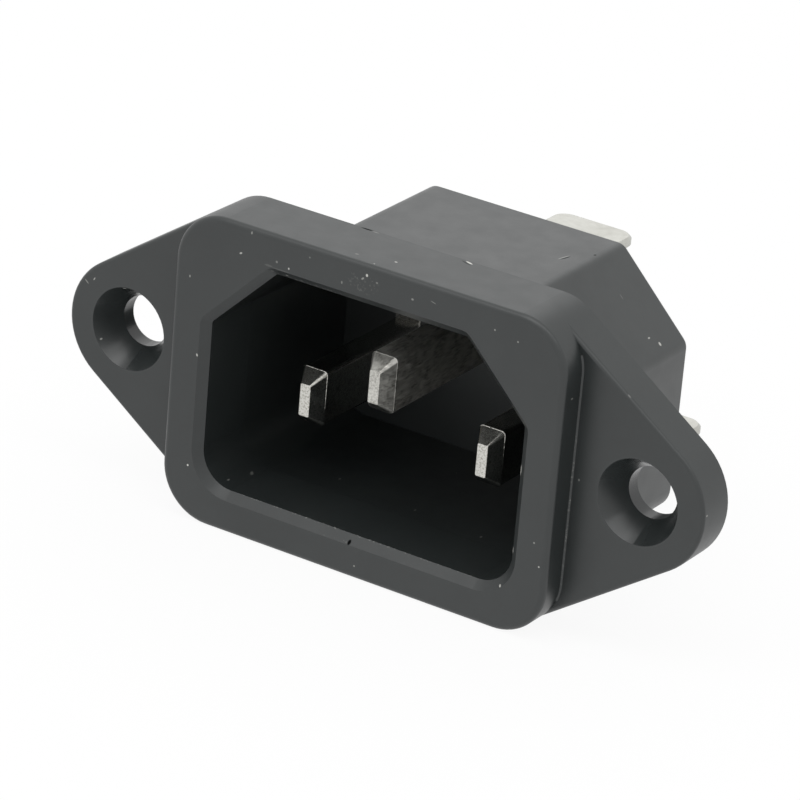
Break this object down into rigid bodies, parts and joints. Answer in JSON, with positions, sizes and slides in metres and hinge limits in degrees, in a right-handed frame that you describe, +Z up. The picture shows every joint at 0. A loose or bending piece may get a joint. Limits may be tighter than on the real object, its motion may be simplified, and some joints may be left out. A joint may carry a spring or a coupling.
{
  "type": "panel inlet socket",
  "caption": "Screw-fixed appliance inlet: dark moulded housing with a keyed cavity, flat plated pins and push-on tabs behind.",
  "frame": {"origin": "centre of the flange's rear face, midway between the two screw holes", "axes": "+X runs right along the line of the screw holes seen from the mating side, +Y into the panel, +Z up"},
  "size_m": [0.0496, 0.0298, 0.0222],
  "materials": {
    "housing_plastic": "satin as moulded, dark grey",
    "plated_pin": "tin-nickel plating, lightly scuffed",
    "plated_tab": "tin plating, as stamped"
  },
  "bodies": {
    "root": {"housing": "housing_plastic", "line_pin": "plated_pin", "neutral_pin": "plated_pin", "earth_pin": "plated_pin", "line_tab": "plated_tab", "neutral_tab": "plated_tab", "earth_tab": "plated_tab"}
  },
  "joints": []
}
